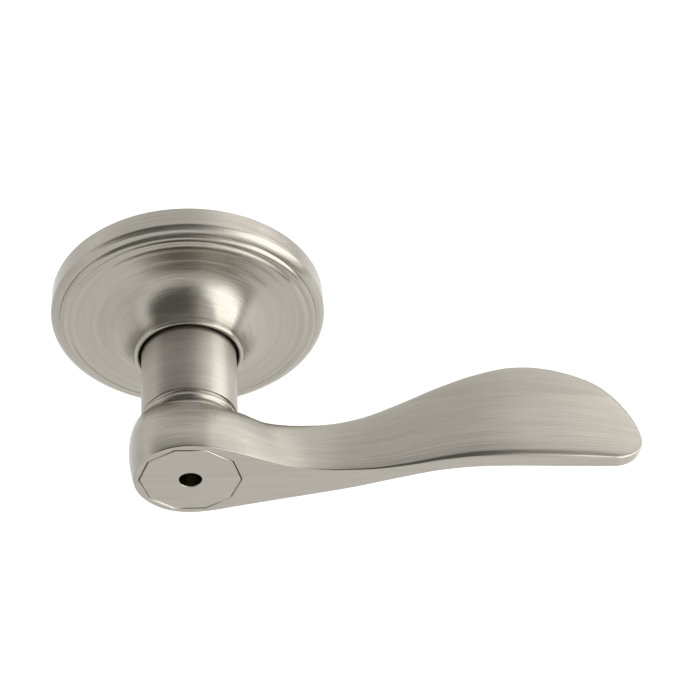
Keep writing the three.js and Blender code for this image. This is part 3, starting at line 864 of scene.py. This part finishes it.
# fixing posts with a tapped bore: the thread is a row of small ridges
def makePosts():
    p = post
    end = p["end"]
    deep = end + p["boreDepth"]
    profile = [(0, deep + p["boreTip"]), (p["bore"], deep)]
    for i in range(int((p["boreDepth"] - 1) / p["pitch"])):
        start = deep - i * p["pitch"]
        crest = start - p["pitch"] * 0.4
        profile += [(p["bore"] + p["thread"], crest), (p["bore"], start - p["pitch"] * 0.9)]
    profile += [(p["bore"] + p["chamfer"], end), (p["radius"] - p["chamfer"], end)]
    back = p["top"] - p["flangeThick"]
    edge = p["flangeEdge"]
    profile += [(p["radius"], end + p["chamfer"]), (p["radius"], back), (p["flange"] - 0.2, back)]
    profile += [(p["flange"], back + 0.2), (p["flange"], p["top"] - edge), (p["flange"] - edge, p["top"])]
    profile += [(0, p["top"])]
    for name, node in postNodes.items():
        finishPiece(turnedSolid(profile, 56, placeOf(node)), name, "rose_set", "zinc_plate", [node])


rivetBox = nodeBox("housing_rivet_1")
rivet = {
    "radius": 1.4,
    "head": rivetBox["right"],
    "top": rivetBox["front"],
    "headThick": 1.0,
    "end": 0.1,
}


# rivets, with a flattened end towards the door and a low round head inside
def makeRivets():
    r = rivet
    end = r["end"]
    top = r["top"]
    back = top - r["headThick"]
    profile = [(0, end), (0.8, end + 0.05), (1.2, end + 0.18), (r["radius"], end + 0.45)]
    profile += [(r["radius"], back), (r["head"], back), (r["head"], back + 0.2)]
    profile += [(2.15, top - 0.4), (1.7, top - 0.15), (1.0, top - 0.03), (0, top)]
    for name, node in rivetNodes.items():
        finishPiece(turnedSolid(profile, 40, placeOf(node)), name, "rose_set", "spring_steel", [node])


bushBox = nodeBox("plate_bush")
bush = {
    "inner": 8.3,
    "outer": bushBox["right"],
    "back": bushBox["back"],
    "front": bushBox["front"],
    "soft": 0.18,
}


def makeBush():
    b = bush
    s = b["soft"]
    profile = [(b["inner"] + s, b["back"]), (b["outer"] - s, b["back"]), (b["outer"], b["back"] + s)]
    profile += [(b["outer"], b["front"] - s), (b["outer"] - s, b["front"]), (b["inner"] + s, b["front"])]
    profile += [(b["inner"], b["front"] - s), (b["inner"], b["back"] + s)]
    finishPiece(turnedSolid(profile, 96), "plate_bush_ring", "rose_set", "black_nylon", ["plate_bush"])


barBox = nodeBox("spindle")
bar = {
    "width": 7.6,
    "edge": 0.45,
    "back": barBox["back"],
    "top": barBox["front"],
    "head": barBox["right"],
    "headThick": 1.5,
    "headEdge": 0.2,
    "bore": 2.2,
    "countersink": 0.5,
}


# square spindle with softened edges, a round head and a bore for the rod
def makeSpindle():
    b = bar
    edge = b["headEdge"]
    top = b["top"]
    headBack = top - b["headThick"]
    length = headBack + 0.5 - b["back"]
    bm = bmesh.new()
    size = Matrix.Diagonal((b["width"] * mm, length * mm, b["width"] * mm, 1))
    place = Matrix.Translation(at(0, b["back"] + length / 2, 0)) @ size
    bmesh.ops.create_cube(bm, size=1, matrix=place)
    bmesh.ops.bevel(
        bm, geom=bm.edges[:], offset=b["edge"] * mm, affect="EDGES",
        segments=3, profile=0.5, material=-1,
    )
    head = [(0, headBack), (b["head"] - edge, headBack), (b["head"], headBack + edge)]
    head += [(b["head"], top - edge), (b["head"] - edge, top), (0, top)]
    mouth = b["bore"] + b["countersink"]
    bore = [(0, b["back"] - 1), (mouth, b["back"] - 1), (mouth, b["back"])]
    bore += [(b["bore"], b["back"] + b["countersink"]), (b["bore"], top + 1), (0, top + 1)]
    solid = combine(bm, [("UNION", turnedSolid(head)), ("DIFFERENCE", turnedSolid(bore, 48))])
    finishPiece(solid, "spindle_bar", "lever", "zinc_plate", ["spindle"])


rodBox = nodeBox("release_pin")
rod = {
    "radius": 1.6,
    "back": rodBox["back"],
    "tip": rodBox["front"],
    "tipRadius": 2.2,
    "tipLength": 6.0,
    "tipEdge": 0.5,
    "collar": rodBox["right"],
    "collarBack": 17.3,
    "collarThick": 1.0,
    "collarEdge": 0.2,
}


# release rod: rounded at the back, a collar for its spring, and a wider tip behind the hole
def makeRod():
    r = rod
    edge = r["collarEdge"]
    back = r["collarBack"]
    front = back + r["collarThick"]
    tipBack = r["tip"] - r["tipLength"]
    profile = [(0, r["back"]), (0.7, r["back"] + 0.08), (1.25, r["back"] + 0.35)]
    profile += [(r["radius"], r["back"] + 0.9), (r["radius"], back), (r["collar"] - edge, back)]
    profile += [(r["collar"], back + edge), (r["collar"], front - edge), (r["collar"] - edge, front)]
    profile += [(r["radius"], front), (r["radius"], tipBack), (r["tipRadius"], tipBack)]
    profile += [(r["tipRadius"], r["tip"] - r["tipEdge"]), (r["tipRadius"] - r["tipEdge"], r["tip"])]
    profile += [(0.9, r["tip"]), (0, r["tip"] - 0.4)]
    finishPiece(turnedSolid(profile, 48), "release_rod", "release", "brass", ["release_pin"])


# a small plunger pointing down, with a domed end and a foot that holds it in
def makeCatch():
    c = catch
    edge = c["footEdge"]
    top = c["footTop"]
    foot = top + c["footThick"]
    profile = [(0, top), (c["foot"] - edge, top), (c["foot"], top + edge), (c["foot"], foot - edge)]
    profile += [(c["foot"] - edge, foot), (c["radius"], foot), (c["radius"], c["tip"] - 0.55)]
    profile += [(1.7, c["tip"] - 0.25), (1.3, c["tip"] - 0.08), (0.6, c["tip"]), (0, c["tip"])]
    plunger = pointDown(turnedSolid(profile, 40), c["out"])
    finishPiece(plunger, "catch_plunger", "catch", "spring_steel", ["lever_catch"])


makePlate()
makePosts()
makeRivets()
makeBush()
makeSpindle()
makeRod()
makeCatch()
print("back pieces ready")

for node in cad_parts.values():
    for slot in node.material_slots:
        slot.material = finishes[slot.material.name.split(".")[0]]
print("carried-over parts finished")


# surroundings: a pale floor well below, a wide softbox on the right, and the room's light by direction
studio = {
    "floor": -0.3,
    "floorSize": 8.0,
    "floorTone": (0.86, 0.86, 0.86, 1),
    "floorRoughness": 0.9,
    "floorGlow": 0.32,
    "dim": 0.2,
    "card": 1.3,
    "cardRange": (0.38, 0.2),
    "behind": 0.95,
    "behindRange": (0.14, 0.68),
    "right": 0.85,
    "rightRange": (0.05, 0.5),
    "boxAway": 1.1,
    "boxTurn": 72,
    "boxUp": 22,
    "boxWidth": 2.5,
    "boxHeight": 0.9,
    "boxPower": 14,
}


def makeFloor():
    bm = bmesh.new()
    place = Matrix.Translation((0, 0, studio["floor"]))
    bmesh.ops.create_grid(bm, x_segments=2, y_segments=2, size=studio["floorSize"] / 2, matrix=place)
    mesh = bpy.data.meshes.new("floor")
    bm.to_mesh(mesh)
    bm.free()
    floor = bpy.data.objects.new("floor", mesh)
    scene.collection.objects.link(floor)
    mesh.materials.append(newMaterial("pale_floor").surface({
        "Base Color": studio["floorTone"],
        "Roughness": studio["floorRoughness"],
        "Emission Color": (1, 1, 1, 1),
        "Emission Strength": studio["floorGlow"],
    }))


# bright below the horizon, lighter behind and on the right, dim elsewhere
def makeRoom():
    world = bpy.data.worlds.new("studio")
    scene.world = world
    room = Finish(world)
    way = room.node("ShaderNodeTexCoord", {}, {}).out("Generated")
    parts = room.node("ShaderNodeSeparateXYZ", {}, {0: way})
    low = room.clamp(parts.out("Z"), *studio["cardRange"])
    behind = room.clamp(parts.out("Y"), *studio["behindRange"])
    right = room.clamp(parts.out("X"), *studio["rightRange"])
    above = studio["dim"] + behind * studio["behind"] + right * studio["right"]
    strength = above * (1 - low) + low * studio["card"]
    sky = room.node("ShaderNodeBackground", {}, {"Color": (1, 1, 1, 1), "Strength": strength}).out()
    room.node("ShaderNodeOutputWorld", {}, {0: sky})


def makeSoftbox():
    light = bpy.data.lights.new("softbox", "AREA")
    light.shape = "RECTANGLE"
    light.size = studio["boxWidth"]
    light.size_y = studio["boxHeight"]
    light.energy = studio["boxPower"]
    box = bpy.data.objects.new("softbox", light)
    scene.collection.objects.link(box)
    turn = radians(studio["boxTurn"])
    up = radians(studio["boxUp"])
    away = Vector((sin(turn) * cos(up), -cos(turn) * cos(up), sin(up)))
    box.location = away * studio["boxAway"]
    box.rotation_euler = away.to_track_quat("Z", "Y").to_euler()


makeFloor()
makeRoom()
makeSoftbox()
print("studio ready")
